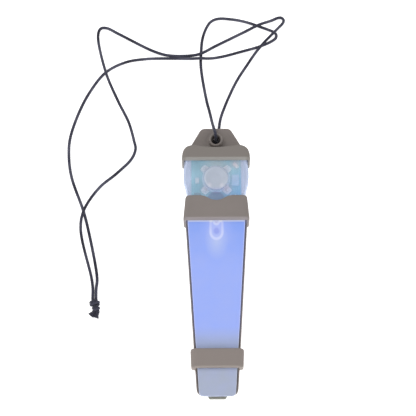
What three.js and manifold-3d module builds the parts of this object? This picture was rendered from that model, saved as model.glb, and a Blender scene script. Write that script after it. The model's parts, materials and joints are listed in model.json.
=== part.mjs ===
// A marker flashlight for a key ring or kit bag: a lit tapered blade on a small battery head, held in a
// moulded rubber holster, with a long thin lanyard through the holster's eyelet.
// Millimetres. +Z points out of the front, +Y towards the eyelet. The back rests on z = 0.
import * as THREE from "three";
import { mergeVertices } from "three/addons/utils/BufferGeometryUtils.js";
import Module from "manifold-3d";

const wasm = await Module();
wasm.setup();

// ---------- driving dimensions ----------
const GAP = 0.3; // clearance between neighbouring pieces
const SMALL_GAP = 0.1; // clearance under parts that are soldered or glued down
const SPAN = 60; // wider than the part: the length of a section that is carried right across it
const PAST = 1; // how far a cutting shape runs past the face it cuts

// holster
const BACK = 1.8; // thickness of the back plate
const FRONT_Z = 15; // front face of the hood and of the middle band
const BAND_WALL = 1.6; // front wall of the hood and of the bands
const HOOD = {
  low: 49.5, high: 57.5, topHalf: 16.9, lowHalf: 17.5, corner: 5.6, edge: 2.6, dip: 1.1, dipHalf: 11,
};
const MIDDLE = { low: 17.9, high: 30.8, topHalf: 15.5, lowHalf: 16.75, corner: 2, edge: 2.2 };
const LOWER = {
  low: -55.9, high: -46.2, topHalf: 13.4, lowHalf: 13, frontZ: 7.8, slopeX: 2.6, slopeZ: 1.8,
};
const LIP = 1.2; // bevel along the lower front edge of the hood and of the middle band
const LOWER_LIP = 0.7; // the same on the lower band
const FOOT = 0.8; // rounding where the holster's sides meet its back
const NOTCH = { half: 8.3, depth: 2.5 };
const TAB = { top: 69.8, topHalf: 7.4, baseHalf: 15.3, backZ: 1.8, frontZ: 4.6, corner: 1.8 };
const EYELET = { y: 62.7, outer: 3.65, inner: 2.3, frontZ: 8 };
const TRAY = { wall: 0.8, end: -68.9, top: 20.9, highZ: 8.2, lowZ: 3.6 };
const END_TAB = { half: 5, reach: 1.8, taper: 1, root: 4 };
const HEAD_BACK = { half: 13.6, waist: 13.4, waistY: 36 }; // back plate between the hood and the middle band

// head of the light
const HEAD = {
  low: 19.5, high: 54.9, half: 16.6, backZ: 2.1, seamZ: 7.5, frontZ: 13.1, wall: 1.2,
  sideEdge: 2.6, farEdge: 2.2, nearEdge: 0.8,
};
const HOOD_ROOM = { topHalf: 15.7, lowHalf: 16.3, corner: 3.2 }; // inside of the hood
const MIDDLE_ROOM = { topHalf: 14.8, lowHalf: 15.2 }; // inside of the middle band
const CENTRE_Y = 40.3; // the button, the coin cells and the battery door share this centre
const GASKET = 0.5; // thickness
const GASKET_INSET = 0.25; // how far it lies inside both faces of the shells' walls
const DISH = { radius: 6, depth: 0.7, y: 27.8 }; // thumb recess beside the middle band's notch

// battery door
const DOOR = {
  radius: 10.9, lugRadius: 12.0, lugHalf: 2.4, lugRoot: 2, entry: 0.5, ledgeZ: 2.9, topZ: 3.6, lugs: 3,
  turn: 60,
};
const DOOR_WINDOW = 12.6; // radius of the opening in the holster's back behind the door
const COIN_SLOT = { half: 6.5, width: 2, depth: 0.9 };

// electronics
const CELL = { radius: 10, thickness: 1.6 };
const CELL_Z = 4.2;
const BOARD = { half: 12.5, low: 28.5, high: 53.2, z: 8.6, thickness: 1.0 };
const SWITCH = { side: 6, height: 1.2, plunger: 1.6 };
const CAP = { radius: 6.05, flange: 7.0, topZ: 13.6, flangeZ: 10.9, flangeTop: 11.6 };
const RETAINER = {
  inner: 5.2, outer: 6.9, lug: 9.8, rootHalf: 2, tipHalf: 1.8, screwAt: 8.2, thickness: 0.6,
};
const SCREW = { boardHole: 0.75, lugHole: 0.65, shank: 0.5, head: 0.95 }; // radii

// blade
const BLADE = {
  top: 19.2, end: -69.6, backZ: 2.8, topZ: 12.5, bendY: -40, bendZ: 6.5, endZ: 4.6, corner: 2.3,
};
const TAPER = { half: 13.42, slope: 0.062 }; // the blade's half width at y = 0, and its growth along +Y
const TALL = 20; // higher than the part: the height of an outline that cuts or is cut
const NECK = { half: 11, low: 4.0, high: 10.6, root: 23.4, rootFlare: 1.2, rootStep: 0.4 };
const LED = { radius: 2.5, flange: 2.9, tip: 10.2, base: 18.9, z: 7.3 };
const POCKET = 3.1; // half width of the pocket that holds the light-emitting diode
const POCKET_SPARE = 0.4; // room left beyond the diode's tip
const REFLECTOR = { inset: 0.6, topZ: 2.5 };
const LEAD = { side: 0.5, apart: 2.54 };

// lanyard
const CORD = 1.6; // diameter

// ---------- solids ----------
function toSolid(geometry) {
  const bare = geometry.clone();
  for (const name of ["normal", "uv"]) bare.deleteAttribute(name);
  const merged = mergeVertices(bare, 1e-4);
  return new wasm.Manifold(new wasm.Mesh({
    numProp: 3,
    vertProperties: new Float32Array(merged.attributes.position.array),
    triVerts: new Uint32Array(merged.index.array),
  }));
}

function toGeometry(solid) {
  const { numProp, vertProperties, triVerts } = solid.getMesh();
  const positions = new Float32Array((vertProperties.length / numProp) * 3);
  for (let i = 0; i < positions.length / 3; i++)
    positions.set(vertProperties.subarray(i * numProp, i * numProp + 3), i * 3);
  const geometry = new THREE.BufferGeometry();
  geometry.setAttribute("position", new THREE.BufferAttribute(positions, 3));
  geometry.setIndex(new THREE.BufferAttribute(triVerts, 1));
  const faceted = geometry.toNonIndexed();
  faceted.computeVertexNormals();
  return faceted;
}

// Joins, cuts and common parts take geometries and solids alike.
const solid = (made) => (made.isBufferGeometry ? toSolid(made) : made);
const join = (first, ...others) => others.reduce((all, next) => all.add(solid(next)), solid(first));
const cut = (first, ...others) => others.reduce((all, next) => all.subtract(solid(next)), solid(first));
const common = (first, ...others) =>
  others.reduce((all, next) => all.intersect(solid(next)), solid(first));

// A closed outline from corners [x, y, radius]; each corner is rounded by its radius.
function outline(corners) {
  const shape = new THREE.Shape();
  const at = (i) => new THREE.Vector2(...corners[(i + corners.length) % corners.length]);
  corners.forEach(([x, y, radius = 0], i) => {
    const corner = new THREE.Vector2(x, y);
    const before = at(i - 1).sub(corner);
    const after = at(i + 1).sub(corner);
    const start = corner.clone().add(before.setLength(radius));
    const end = corner.clone().add(after.setLength(radius));
    if (i === 0) shape.moveTo(start.x, start.y);
    else shape.lineTo(start.x, start.y);
    if (radius > 0) shape.quadraticCurveTo(x, y, end.x, end.y);
  });
  shape.closePath();
  return shape;
}

// Mirrors the right-hand corners, given from top to bottom, to make a symmetric outline.
function mirrored(right) {
  const left = right.map(([x, y, radius]) => [-x, y, radius]);
  return outline([...left, ...[...right].reverse()]);
}

function plate(shape, low, high, segments = 6) {
  const options = { depth: high - low, bevelEnabled: false, curveSegments: segments };
  return new THREE.ExtrudeGeometry(shape, options).translate(0, 0, low);
}

// An XZ section carried along Y.
function alongY(shape, low, high, segments = 6) {
  return plate(shape, 0, high - low, segments).rotateX(Math.PI / 2).translate(0, high, 0);
}

// A YZ section carried along X, centred on x = 0.
function alongX(shape, width, segments = 6) {
  const turn = new THREE.Matrix4().makeBasis(
    new THREE.Vector3(0, 1, 0), new THREE.Vector3(0, 0, 1), new THREE.Vector3(1, 0, 0));
  return plate(shape, -width / 2, width / 2, segments).applyMatrix4(turn);
}

function box(lowX, highX, lowY, highY, lowZ, highZ) {
  const geometry = new THREE.BoxGeometry(highX - lowX, highY - lowY, highZ - lowZ);
  return geometry.translate((lowX + highX) / 2, (lowY + highY) / 2, (lowZ + highZ) / 2);
}

// A solid of revolution about the Z axis through (0, y), from [radius, z] points that start and end on
// the axis or close on themselves.
function turned(profile, y = CENTRE_Y, segments = 32) {
  const points = profile.map(([radius, z]) => new THREE.Vector2(radius, z));
  return new THREE.LatheGeometry(points, segments).rotateX(Math.PI / 2).translate(0, y, 0);
}

const disc = (radius, low, high, y, segments) =>
  turned([[0, low], [radius, low], [radius, high], [0, high]], y, segments);

const ring = (inner, outer, low, high, y, segments) =>
  turned([[inner, low], [outer, low], [outer, high], [inner, high], [inner, low]], y, segments);

// ---------- outlines that several pieces share ----------
// The head is widest above its middle and narrows where the middle band grips it.
function headOutline(inset) {
  const right = [
    [15.35, HEAD.high, 3], [15.85, 50.2, 1], [HEAD.half, 46.2, 2.5], [HEAD.half, 40.4, 2],
    [14.5, 30.8, 2], [14.2, HEAD.low, 1.5],
  ];
  const middleY = (HEAD.high + HEAD.low) / 2;
  const shrink = (y) => (y > middleY ? -inset : inset);
  return mirrored(right.map(([x, y, r], i) => {
    const onEnd = i === 0 || i === right.length - 1;
    return [x - inset, onEnd ? y + shrink(y) : y, Math.max(r - inset, 0.4)];
  }));
}

// The blade tapers from the head to its rounded end. A grow above zero makes the outline of what holds it.
function bladeOutline(grow, top, end) {
  const half = (y) => TAPER.half + TAPER.slope * y + grow;
  return mirrored([[half(top), top], [half(end), end, BLADE.corner + grow]]);
}

// ---------- holster ----------
// A band seen from the front, with its front edges rounded in the section along Y.
function bandBlank(band) {
  const seen = mirrored([[band.topHalf, band.high, band.corner], [band.lowHalf, band.low, FOOT]]);
  const wide = band.lowHalf + SMALL_GAP;
  const section = mirrored([[wide, FRONT_Z, band.edge], [wide, 0, FOOT]]);
  return common(plate(seen, 0, FRONT_Z, 8), alongY(section, band.low - PAST, band.high + PAST, 5));
}

// The lower band is lower than the others, and its shoulders slope.
function lowerBand() {
  const seen = mirrored([[LOWER.topHalf, LOWER.high, 1.5], [LOWER.lowHalf, LOWER.low, FOOT]]);
  const section = mirrored([
    [LOWER.topHalf - LOWER.slopeX, LOWER.frontZ, 1.2],
    [LOWER.topHalf, LOWER.frontZ - LOWER.slopeZ, 1.2],
    [LOWER.topHalf, 0, FOOT],
  ]);
  return common(
    plate(seen, 0, LOWER.frontZ), alongY(section, LOWER.low - PAST, LOWER.high + PAST));
}

// Takes the sharp edge off the lower rim of a band, as a sloping lip.
function lipCut(low, frontZ, size) {
  const wedge = outline([
    [low - PAST, frontZ - size - PAST], [low + size + PAST, frontZ + PAST], [low - PAST, frontZ + PAST],
  ]);
  return alongX(wedge, SPAN);
}

// The hood's top edge dips a little above the eyelet.
function hoodDip() {
  const dip = new THREE.Shape();
  dip.moveTo(-HOOD.dipHalf, HOOD.high + PAST);
  dip.lineTo(-HOOD.dipHalf, HOOD.high);
  dip.quadraticCurveTo(0, HOOD.high - 2 * HOOD.dip, HOOD.dipHalf, HOOD.high);
  dip.lineTo(HOOD.dipHalf, HOOD.high + PAST);
  return plate(dip, TAB.frontZ, FRONT_Z + PAST, 10);
}

// The middle band's top edge has a wave cut into it for the thumb.
function thumbNotch() {
  const low = MIDDLE.high - NOTCH.depth;
  const bend = NOTCH.half / 2;
  const notch = new THREE.Shape();
  notch.moveTo(-NOTCH.half, MIDDLE.high + PAST);
  notch.lineTo(-NOTCH.half, MIDDLE.high);
  notch.bezierCurveTo(-bend, MIDDLE.high, -bend, low, 0, low);
  notch.bezierCurveTo(bend, low, bend, MIDDLE.high, NOTCH.half, MIDDLE.high);
  notch.lineTo(NOTCH.half, MIDDLE.high + PAST);
  return plate(notch, HEAD.frontZ - PAST, FRONT_Z + PAST, 8);
}

// The hood and the middle band, which share the room that the head lies in.
function bands() {
  const hoodRoom = mirrored([
    [HOOD_ROOM.topHalf, HOOD.high - BAND_WALL, HOOD_ROOM.corner], [HOOD_ROOM.lowHalf, HOOD.low - PAST],
  ]);
  const middleRoom = mirrored([
    [MIDDLE_ROOM.topHalf, MIDDLE.high + PAST], [MIDDLE_ROOM.lowHalf, MIDDLE.low - PAST],
  ]);
  return cut(
    join(bandBlank(HOOD), bandBlank(MIDDLE)),
    plate(hoodRoom, BACK, FRONT_Z - BAND_WALL),
    plate(middleRoom, BACK, FRONT_Z - BAND_WALL),
    hoodDip(),
    thumbNotch(),
    lipCut(HOOD.low, FRONT_Z, LIP),
    lipCut(MIDDLE.low, FRONT_Z, LIP),
  );
}

// A shallow trough behind and beside the blade; its sides get lower towards the end.
function tray() {
  const blank = plate(bladeOutline(TRAY.wall + GAP, TRAY.top, TRAY.end), 0, TALL);
  const side = outline([
    [TRAY.end - PAST, 0], [TRAY.top + PAST, 0], [TRAY.top + PAST, TRAY.highZ],
    [TRAY.end - PAST, TRAY.lowZ],
  ]);
  const room = plate(bladeOutline(GAP, TRAY.top + PAST, BLADE.end - GAP), BACK, TALL);
  return cut(common(blank, alongX(side, SPAN)), room);
}

function eyeletBoss() {
  const { outer, frontZ, y } = EYELET;
  const root = outer + 0.6;
  return turned([
    [0, TAB.backZ], [root, TAB.backZ], [root, TAB.frontZ], [outer, TAB.frontZ + 0.7],
    [outer, frontZ - 0.5], [outer - 0.5, frontZ], [0, frontZ],
  ], y, 24);
}

function eyeletHole() {
  const { inner, frontZ, y } = EYELET;
  return turned([
    [0, TAB.backZ - PAST], [inner + 1.5, TAB.backZ - PAST], [inner, TAB.backZ + 0.5],
    [inner, frontZ - 0.5], [inner + 1, frontZ + 0.5], [0, frontZ + 0.5],
  ], y, 24);
}

function holster() {
  const { half, waist, waistY } = HEAD_BACK;
  const headBack = mirrored([[half, HOOD.low + 3 * PAST], [waist, waistY, 4], [half, MIDDLE.low]]);
  const tab = mirrored([[TAB.topHalf, TAB.top, TAB.corner], [TAB.baseHalf, HOOD.high - 1.2]]);
  const endTab = mirrored([
    [END_TAB.half, TRAY.end + END_TAB.root],
    [END_TAB.half, TRAY.end],
    [END_TAB.half - END_TAB.taper, TRAY.end - END_TAB.reach, 0.5],
  ]);
  const bladeRoom = common(
    plate(bladeOutline(GAP, MIDDLE.low - PAST, BLADE.end - GAP), BACK, TALL),
    alongX(bladeSide(GAP, BACK), SPAN));
  return cut(
    join(
      bands(),
      tray(),
      cut(lowerBand(), lipCut(LOWER.low, LOWER.frontZ, LOWER_LIP)),
      plate(headBack, 0, BACK),
      plate(tab, TAB.backZ, TAB.frontZ),
      plate(endTab, 0, BACK),
      eyeletBoss(),
    ),
    eyeletHole(),
    disc(DOOR_WINDOW, -PAST, BACK + PAST, CENTRE_Y, 40),
    bladeRoom,
  );
}

// ---------- head shells ----------
function headBlank(inset, low, high) {
  return plate(headOutline(inset), low, high);
}

// The blade's neck passes through the end wall, half in each shell.
const neckHole = () => box(
  -NECK.half - GAP, NECK.half + GAP, HEAD.low - PAST, HEAD.low + HEAD.wall + PAST,
  NECK.low - GAP, NECK.high + GAP);

function headRearShell() {
  const top = HEAD.seamZ - GASKET / 2 - SMALL_GAP;
  const outer = headBlank(0, HEAD.backZ, top);
  const room = headBlank(HEAD.wall, DOOR.topZ + GAP, top + PAST);
  const doorway = join(
    disc(DOOR.radius + GAP, 0, DOOR.topZ + PAST, CENTRE_Y, 40),
    disc(DOOR.lugRadius + GAP, DOOR.ledgeZ, DOOR.topZ + PAST, CENTRE_Y, 40),
  );
  const entries = [];
  for (let i = 0; i < DOOR.lugs; i++)
    entries.push(doorLug(i, DOOR.turn, DOOR.entry, 0, DOOR.topZ + PAST));
  return cut(outer, room, doorway, ...entries, neckHole());
}

function headFrontShell() {
  const low = HEAD.seamZ + GASKET / 2 + SMALL_GAP;
  const section = mirrored([[HEAD.half, HEAD.frontZ, HEAD.sideEdge], [HEAD.half, low]]);
  const side = outline([
    [HEAD.low, low], [HEAD.high, low], [HEAD.high, HEAD.frontZ, HEAD.farEdge],
    [HEAD.low, HEAD.frontZ, HEAD.nearEdge],
  ]);
  const outer = common(
    headBlank(0, low, HEAD.frontZ),
    alongY(section, HEAD.low - PAST, HEAD.high + PAST),
    alongX(side, SPAN),
  );
  const inside = HEAD.half - HEAD.wall;
  const roomSection = mirrored([[inside, HEAD.frontZ - HEAD.wall, 1.8], [inside, low - PAST]]);
  const room = common(
    headBlank(HEAD.wall, low - PAST, HEAD.frontZ - HEAD.wall),
    alongY(roomSection, HEAD.low, HEAD.high),
  );
  const capHole = disc(CAP.radius + 0.2, HEAD.seamZ, HEAD.frontZ + PAST, CENTRE_Y, 40);
  const thumbDish = turned([
    [0, HEAD.frontZ - DISH.depth], [DISH.radius * 0.6, HEAD.frontZ - DISH.depth * 0.8],
    [DISH.radius, HEAD.frontZ], [DISH.radius, HEAD.frontZ + PAST], [0, HEAD.frontZ + PAST],
  ], DISH.y, 24);
  return cut(outer, room, capHole, thumbDish, neckHole());
}

function shellGasket() {
  const low = HEAD.seamZ - GASKET / 2;
  const high = HEAD.seamZ + GASKET / 2;
  const middle = headBlank(HEAD.wall - GASKET_INSET, low - PAST, high + PAST);
  return cut(headBlank(GASKET_INSET, low, high), middle, neckHole());
}

// ---------- battery door ----------
// One bayonet lug of the door, or with a wider reach the slot that lets it through the ledge.
function doorLug(index, turn, spare, low, high) {
  const half = DOOR.lugHalf + spare;
  const reach = DOOR.lugRadius + (spare > 0 ? GAP : 0);
  const lug = box(DOOR.radius - DOOR.lugRoot, reach + PAST, -half, half, low, high);
  lug.rotateZ(THREE.MathUtils.degToRad(90 + turn + (index * 360) / DOOR.lugs));
  lug.translate(0, CENTRE_Y, 0);
  return common(lug, disc(reach, low - PAST, high + PAST, CENTRE_Y, 40));
}

function batteryDoor() {
  const groove = { inner: 9.8, low: 2.15, high: 2.95 };
  const body = turned([
    [0, HEAD.backZ], [DOOR.radius - 0.3, HEAD.backZ], [DOOR.radius - 0.3, groove.low],
    [groove.inner, groove.low + 0.1], [groove.inner, groove.high], [DOOR.radius, groove.high],
    [DOOR.radius, DOOR.topZ], [0, DOOR.topZ],
  ], CENTRE_Y, 40);
  const lugs = [];
  for (let i = 0; i < DOOR.lugs; i++) lugs.push(doorLug(i, 0, 0, DOOR.ledgeZ + 0.2, DOOR.topZ));
  const { half, width, depth } = COIN_SLOT;
  const coinSlot = box(
    -half, half, CENTRE_Y - width / 2, CENTRE_Y + width / 2, 0, HEAD.backZ + depth);
  return cut(join(body, ...lugs), coinSlot);
}

const doorSeal = () => turned([
  [9.95, 2.45], [10.2, 2.35], [10.75, 2.35], [10.95, 2.55], [10.75, 2.8], [10.2, 2.8], [9.95, 2.65],
  [9.95, 2.45],
], CENTRE_Y, 40);

// ---------- power and circuit board ----------
function coinCell(low) {
  const { radius, thickness } = CELL;
  return turned([
    [0, low], [radius - 0.3, low], [radius, low + 0.3], [radius, low + thickness - 0.35],
    [radius - 0.9, low + thickness - 0.15], [radius - 1.1, low + thickness], [0, low + thickness],
  ]);
}

const upperCellZ = CELL_Z + CELL.thickness + SMALL_GAP * 2;
const boardTop = BOARD.z + BOARD.thickness;
const partZ = boardTop + SMALL_GAP;

// A leaf under the board that bears on the middle of the upper cell.
function negativeContact() {
  const cellTop = upperCellZ + CELL.thickness;
  const leaf = outline([
    [CENTRE_Y - 5, BOARD.z - 0.4], [CENTRE_Y - 3.4, BOARD.z - 0.4],
    [CENTRE_Y + 0.6, cellTop + 0.1], [CENTRE_Y + 3, cellTop + 0.1],
    [CENTRE_Y + 3, cellTop + 0.35], [CENTRE_Y + 0.8, cellTop + 0.35],
    [CENTRE_Y - 3.2, BOARD.z - SMALL_GAP], [CENTRE_Y - 5, BOARD.z - SMALL_GAP],
  ]);
  return alongX(leaf, 4);
}

// A strip beside the cells that bears on their rims and turns in under the board.
function positiveContact() {
  const edge = CENTRE_Y + CELL.radius + 0.25;
  const strip = outline([
    [edge, CELL_Z], [edge + 0.3, CELL_Z], [edge + 0.3, BOARD.z - 0.4],
    [edge + 1.5, BOARD.z - 0.4], [edge + 1.5, BOARD.z - SMALL_GAP],
    [edge, BOARD.z - SMALL_GAP],
  ]);
  return alongX(strip, 5);
}

function circuitBoard() {
  const shape = mirrored([[BOARD.half, BOARD.high, 1.5], [BOARD.half, BOARD.low, 1]]);
  const board = plate(shape, BOARD.z, boardTop);
  const screwHoles = retainerScrewPlaces().map(([x, y]) =>
    disc(SCREW.boardHole, BOARD.z - PAST, boardTop + PAST, 0, 12).translate(x, y, 0));
  return cut(board, ...screwHoles);
}

// ---------- switch ----------
function switchBody() {
  const half = SWITCH.side / 2;
  const low = CENTRE_Y - half;
  const shell = box(-half, half, low, low + SWITCH.side, partZ, partZ + SWITCH.height);
  const room = disc(2.3, partZ + 0.25, partZ + SWITCH.height - 0.25, CENTRE_Y, 20);
  const hole = disc(SWITCH.plunger + 0.2, partZ + 0.5, partZ + 3, CENTRE_Y, 20);
  return cut(shell, room, hole);
}

const domeZ = partZ + 0.3;
const switchDome = () => turned([
  [0, domeZ + 0.3], [1.2, domeZ + 0.2], [2.1, domeZ], [2.1, domeZ + 0.1], [1.2, domeZ + 0.3],
  [0, domeZ + 0.4],
], CENTRE_Y, 20);

const plungerTop = partZ + SWITCH.height + 0.5;
const switchPlunger = () => turned([
  [0, domeZ + 0.5], [1.0, domeZ + 0.5], [SWITCH.plunger, domeZ + 0.6],
  [SWITCH.plunger, plungerTop - 0.2], [SWITCH.plunger - 0.2, plungerTop], [0, plungerTop],
], CENTRE_Y, 20);

function buttonCap() {
  const { radius, flange, topZ, flangeZ, flangeTop } = CAP;
  return turned([
    [0, plungerTop + SMALL_GAP], [1.5, plungerTop + SMALL_GAP], [1.7, topZ - 1.2], [5.1, topZ - 1.2],
    [5.4, flangeZ], [flange, flangeZ], [flange, flangeTop], [radius, flangeTop],
    [radius, topZ - 0.6], [radius - 0.25, topZ - 0.18], [radius - 0.9, topZ],
    [radius - 1.8, topZ - 0.1], [2.5, topZ - 0.3], [0, topZ - 0.35],
  ], CENTRE_Y, 40);
}

function retainerScrewPlaces() {
  return [45, 135, 225, 315].map((degrees) => {
    const angle = THREE.MathUtils.degToRad(degrees);
    return [RETAINER.screwAt * Math.cos(angle), CENTRE_Y + RETAINER.screwAt * Math.sin(angle)];
  });
}

// A ring round the switch with four diagonal lugs, screwed to the board.
function switchRetainer() {
  const top = partZ + RETAINER.thickness;
  const hoop = ring(RETAINER.inner, RETAINER.outer, partZ, top, CENTRE_Y, 32);
  const lugs = [];
  for (const degrees of [45, 135, 225, 315]) {
    const lug = outline([
      [RETAINER.outer - 0.8, -RETAINER.rootHalf], [RETAINER.lug, -RETAINER.tipHalf, 0.9],
      [RETAINER.lug, RETAINER.tipHalf, 0.9], [RETAINER.outer - 0.8, RETAINER.rootHalf],
    ]);
    const placed = plate(lug, partZ, top, 3).rotateZ(THREE.MathUtils.degToRad(degrees));
    lugs.push(placed.translate(0, CENTRE_Y, 0));
  }
  const holes = retainerScrewPlaces().map(([x, y]) =>
    disc(SCREW.lugHole, partZ - PAST, top + PAST, 0, 12).translate(x, y, 0));
  return cut(join(hoop, ...lugs), ...holes);
}

function retainerScrew() {
  const { shank, head: radius } = SCREW;
  const tip = BOARD.z + SMALL_GAP;
  const headZ = partZ + RETAINER.thickness + SMALL_GAP / 2;
  return turned([
    [0, tip], [shank - 0.1, tip], [shank, tip + 0.2], [shank, headZ], [radius, headZ],
    [radius - 0.05, headZ + 0.3], [radius - 0.45, headZ + 0.45], [0, headZ + 0.5],
  ], 0, 12);
}

// ---------- blade ----------
// Side view of the blade, deepest at the head, with the clearance asked for over it and at its ends.
function bladeSide(grow, backZ) {
  return outline([
    [BLADE.end - grow, backZ], [BLADE.top + grow, backZ],
    [BLADE.top + grow, BLADE.topZ + grow], [BLADE.bendY, BLADE.bendZ + grow],
    [BLADE.end - grow, BLADE.endZ + grow],
  ]);
}

function lightBlade() {
  const body = common(
    plate(bladeOutline(0, BLADE.top, BLADE.end), 0, TALL), alongX(bladeSide(0, BLADE.backZ), SPAN));
  const neckEnd = HEAD.low + HEAD.wall + GAP;
  const neck = box(-NECK.half, NECK.half, BLADE.top - PAST, neckEnd + 0.1, NECK.low, NECK.high);
  const rootHalf = NECK.half + NECK.rootFlare;
  const root = box(-rootHalf, rootHalf, neckEnd, NECK.root, NECK.low, NECK.high - NECK.rootStep);
  const pocketEnd = new THREE.Shape();
  const arcY = LED.tip - POCKET_SPARE + POCKET;
  pocketEnd.moveTo(POCKET, NECK.root + PAST);
  pocketEnd.lineTo(-POCKET, NECK.root + PAST);
  pocketEnd.lineTo(-POCKET, arcY);
  pocketEnd.absarc(0, arcY, POCKET, Math.PI, 2 * Math.PI, false);
  pocketEnd.closePath();
  const pocket = plate(pocketEnd, LED.z - POCKET, LED.z + POCKET, 10);
  return cut(join(body, neck, root), pocket);
}

function bladeReflector() {
  const { inset, topZ } = REFLECTOR;
  return plate(bladeOutline(-inset, BLADE.top - 1, BLADE.end + inset), BACK + GAP, topZ);
}

// ---------- light-emitting diode ----------
function bladeLed() {
  const { radius, flange, tip, base } = LED;
  const shoulder = tip + radius;
  const profile = [[0, base + 1], [flange, base + 1], [flange, base], [radius, base], [radius, shoulder]];
  for (let i = 1; i < 6; i++) {
    const angle = (i * Math.PI) / 12;
    profile.push([radius * Math.cos(angle), shoulder - radius * Math.sin(angle)]);
  }
  profile.push([0, tip]);
  const points = profile.map(([r, y]) => new THREE.Vector2(r, y)).reverse();
  return new THREE.LatheGeometry(points, 24).translate(0, 0, LED.z);
}

// A lead runs back from the diode and up to the underside of the board.
function ledLead(x) {
  const start = LED.base + 1 + SMALL_GAP;
  const riser = BOARD.low + 1;
  const low = LED.z - LEAD.side / 2;
  const lead = outline([
    [start, low], [riser + LEAD.side, low], [riser + LEAD.side, BOARD.z - SMALL_GAP],
    [riser, BOARD.z - SMALL_GAP], [riser, low + LEAD.side], [start, low + LEAD.side],
  ]);
  return alongX(lead, LEAD.side).translate(x, 0, 0);
}

// ---------- lanyard ----------
// Each strand is a smooth curve through hand-laid points [x, y, z]; the floor is z = 0.
const REST = 0.82; // height of the cord's middle where it lies flat
const OVER = 2.7; // height of the cord's middle where it crosses another stretch

const FRONT_STRAND = [
  [0, 62.9, 5.3], [0, 63.8, 8.5], [-0.3, 65.9, 9.5], [-1.1, 69.2, 8], [-2, 74, 4.1],
  [-3.1, 80, 1.4], [-4.6, 86.3, REST], [-7.5, 105, REST], [-7.4, 113.5, REST],
  [-6.7, 121, REST], [-4.7, 127.2, REST], [-2.2, 131, REST], [1.4, 132.7, REST],
  [8.8, 132.4, REST], [16.8, 130.7, REST], [25.3, 127.5, REST], [31.1, 125, REST],
  [32.35, 123.7, REST], [32.35, 121.9, REST], [31.1, 120.5, REST], [25.1, 117.4, REST],
  [13.4, 113.8, REST], [2.9, 111, REST], [-3, 109.9, 1.6], [-7.5, 109.6, OVER],
  [-12.5, 109.9, 1.5], [-23.3, 110.3, REST], [-36.3, 110.1, REST], [-47.4, 108.2, REST],
  [-57.6, 102.6, REST], [-65.4, 92.3, REST], [-71.3, 80.2, REST], [-75.6, 66.1, REST],
  [-76.1, 57, REST], [-74.6, 45.5, REST], [-68, 26.6, REST], [-65.6, 17.6, REST],
  [-60.5, -8.9, REST], [-60.93, -14.5, REST], [-60.96, -19.4, REST],
];

const BACK_STRAND = [
  [0.1, 62.7, 4.1], [0.5, 63.4, 1.75], [1, 65.2, 0.92], [1.7, 70.8, REST], [2.8, 77.3, REST],
  [10.5, 96, REST], [17, 106.7, REST], [21.3, 113, 1.4], [25.4, 117.8, OVER],
  [31.5, 124.4, OVER], [33.9, 127.4, 1.5], [36.2, 130.3, REST], [36.5, 131.9, REST],
  [35.4, 133.1, REST], [33.6, 133.1, REST], [30, 131.4, 1.2], [23.2, 128.4, OVER],
  [16.5, 125.4, 1.3], [0.3, 117.1, 1.1], [-7.4, 112.3, OVER], [-12.2, 111.65, 1.5],
  [-24.6, 112.05, REST], [-32.3, 114.4, REST], [-51, 124.4, REST], [-57.2, 127.7, REST],
  [-60.4, 127.6, REST], [-61.9, 124.2, REST], [-57.5, 102.2, OVER], [-50.9, 86.5, REST],
  [-45.3, 74.8, REST], [-42.4, 64.5, REST], [-41.6, 60.2, REST], [-43.5, 54.9, REST],
  [-51, 47.1, REST], [-60.2, 39.1, REST], [-67.8, 26.3, OVER], [-69.3, 17.1, REST],
  [-63.3, -8.9, REST], [-62.6, -14.5, REST], [-62.6, -19.4, REST],
];

// The two short ends below the knot
const TAIL_LEFT = [[-61.8, -26.2, 1.4], [-62.6, -27.1, 1.1], [-63.4, -28, REST]];
const TAIL_RIGHT = [[-60, -26.3, 1.4], [-60.5, -27.6, 1], [-61, -29.1, REST]];

// Samples fall on the curve's own points, so that close points give short steps.
class LaidCurve extends THREE.CatmullRomCurve3 {
  getUtoTmapping(u) {
    return u;
  }
}

function cordTube(points, steps = points.length - 1) {
  const curve = new LaidCurve(points.map((p) => new THREE.Vector3(...p)));
  const section = new THREE.Shape();
  for (let i = 0; i < 8; i++) {
    const angle = (i * Math.PI) / 4;
    section[i ? "lineTo" : "moveTo"]((CORD / 2) * Math.cos(angle), (CORD / 2) * Math.sin(angle));
  }
  section.closePath();
  return new THREE.ExtrudeGeometry(section, { steps, extrudePath: curve, bevelEnabled: false });
}

// Two lobes, each a squashed ball: half its length, half its width and its turn about Z.
function lanyardKnot() {
  const middleZ = 1.6;
  const halfHeight = 1.5;
  const lobe = (x, y, long, wide, turn) => new THREE.SphereGeometry(1, 16, 10)
    .scale(long, wide, halfHeight).rotateZ(turn).translate(x, y, middleZ);
  return join(lobe(-61.5, -21.7, 2.7, 1.9, -0.1), lobe(-60.8, -24.3, 2, 1.4, -0.3));
}

// ---------- assembly ----------
const COLOURS = {
  rubber: { color: 0x857c78, roughness: 0.75, metalness: 0 },
  frosted: { color: 0xb9cde6, roughness: 0.4, metalness: 0 },
  tub: { color: 0xc9d6e4, roughness: 0.5, metalness: 0 },
  lit: { color: 0x9fb5fb, roughness: 0.35, metalness: 0 },
  white: { color: 0xf0f2f4, roughness: 0.5, metalness: 0 },
  board: { color: 0x5fa6a0, roughness: 0.45, metalness: 0 },
  metal: { color: 0xc4c7cc, roughness: 0.3, metalness: 1 },
  brass: { color: 0xc9a24a, roughness: 0.35, metalness: 1 },
  black: { color: 0x1c1d20, roughness: 0.5, metalness: 0 },
  cord: { color: 0x33364a, roughness: 0.9, metalness: 0 },
};

const light = new THREE.Group();

function subassembly(parent = light) {
  const made = new THREE.Group();
  parent.add(made);
  return made;
}

const head = subassembly();
const power = subassembly(head);
const board = subassembly(head);
const button = subassembly(head);
const bladeUnit = subassembly();
const lanyard = subassembly();

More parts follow.
